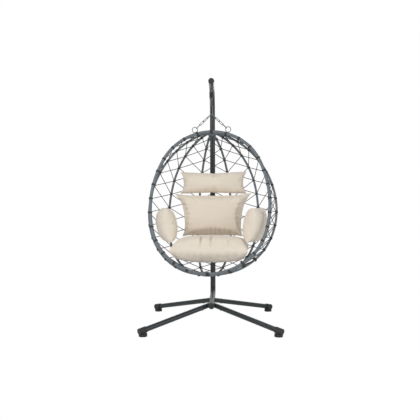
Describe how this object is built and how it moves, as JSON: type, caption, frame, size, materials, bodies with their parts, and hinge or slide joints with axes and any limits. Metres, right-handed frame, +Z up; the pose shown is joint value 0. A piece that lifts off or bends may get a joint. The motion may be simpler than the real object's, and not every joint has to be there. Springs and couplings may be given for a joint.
{
  "type": "hanging egg chair",
  "caption": "Egg-shaped lattice basket chair with cream cushions, hung by chains and a spring from a bent pole on a four-legged base.",
  "frame": {"origin": "middle of the base on the floor", "axes": "+Z up, +Y to the back (the side of the upright), +X to the right seen from the front"},
  "size_m": [1.0564, 1.0472, 1.951],
  "materials": {
    "dark_paint": "satin",
    "black_plastic": "matte",
    "zinc": "satin",
    "spring_black": "gloss",
    "basket_paint": "satin",
    "weave_resin": "matte",
    "cream_cloth": "matte"
  },
  "bodies": {
    "stand": {"lower_pole": "dark_paint", "middle_pole": "dark_paint", "upper_pole": "dark_paint", "tip_cap": "black_plastic", "toe_cap": "black_plastic", "pole_bolts": "zinc", "pole_nuts": "zinc", "pole_washers": "zinc", "leg_front_left": "dark_paint", "leg_front_right": "dark_paint", "leg_rear_left": "dark_paint", "leg_rear_right": "dark_paint", "foot_front_left": "black_plastic", "foot_front_right": "black_plastic", "foot_rear_left": "black_plastic", "foot_rear_right": "black_plastic", "leg_screws": "zinc", "leg_nuts": "zinc", "pole_hook": "dark_paint"},
    "spring_top": {"spring_upper_yoke": "zinc", "spring_coil": "spring_black"},
    "spring_bottom": {"spring_lower_yoke": "zinc"},
    "carabiner": {"carabiner_body": "zinc", "carabiner_pin": "zinc"},
    "gate": {"carabiner_gate": "zinc"},
    "bridle": {"drop_link": "zinc", "chain_left": "zinc", "chain_right": "zinc"},
    "basket": {"rim": "basket_paint", "rim_ring_left": "zinc", "rim_ring_right": "zinc", "top_hub": "basket_paint", "bottom_hub": "basket_paint", "rib_side_left": "basket_paint", "rib_side_right": "basket_paint", "rib_outer_left": "basket_paint", "rib_outer_right": "basket_paint", "rib_inner_left": "basket_paint", "rib_inner_right": "basket_paint", "weave_side_left": "weave_resin", "weave_side_right": "weave_resin", "weave_outer_left": "weave_resin", "weave_outer_right": "weave_resin", "weave_inner_left": "weave_resin", "weave_inner_right": "weave_resin", "weave_back": "weave_resin", "seat_cushion": "cream_cloth", "back_cushion": "cream_cloth", "head_pillow": "cream_cloth", "arm_cushion_left": "cream_cloth", "arm_cushion_right": "cream_cloth"}
  },
  "joints": [
    {"name": "swing", "type": "hinge", "parent": "stand", "child": "spring_top", "pos_m": [0, 0.02, 1.864], "axis": [1, 0, 0], "range_deg": [-12, 3]},
    {"name": "bounce", "type": "slide", "parent": "spring_top", "child": "spring_bottom", "axis": [0, 0, -1], "range_m": [-0.003, 0.02], "stiffness_N_per_m": 30000, "springref_m": -0.01006, "deforming": ["spring_coil"]},
    {"name": "turn", "type": "hinge", "parent": "spring_bottom", "child": "carabiner", "pos_m": [0, 0.02, 1.776], "axis": [0, 0, 1], "range_deg": [-10, 10]},
    {"name": "gate", "type": "hinge", "parent": "carabiner", "child": "gate", "pos_m": [0.00556, 0.02831, 1.74995], "axis": [0.831, -0.5563, 0], "range_deg": [0, 25], "stiffness_Nm_per_rad": 0.02, "springref_deg": -17.19},
    {"name": "sway", "type": "hinge", "parent": "carabiner", "child": "bridle", "pos_m": [0, 0.02, 1.73745], "axis": [0.0663, 0.9978, 0], "range_deg": [-6, 6]},
    {"name": "nod", "type": "hinge", "parent": "bridle", "child": "basket", "pos_m": [0, 0.02, 1.5577], "axis": [0.9978, -0.0663, 0], "range_deg": [-5, 2]}
  ]
}
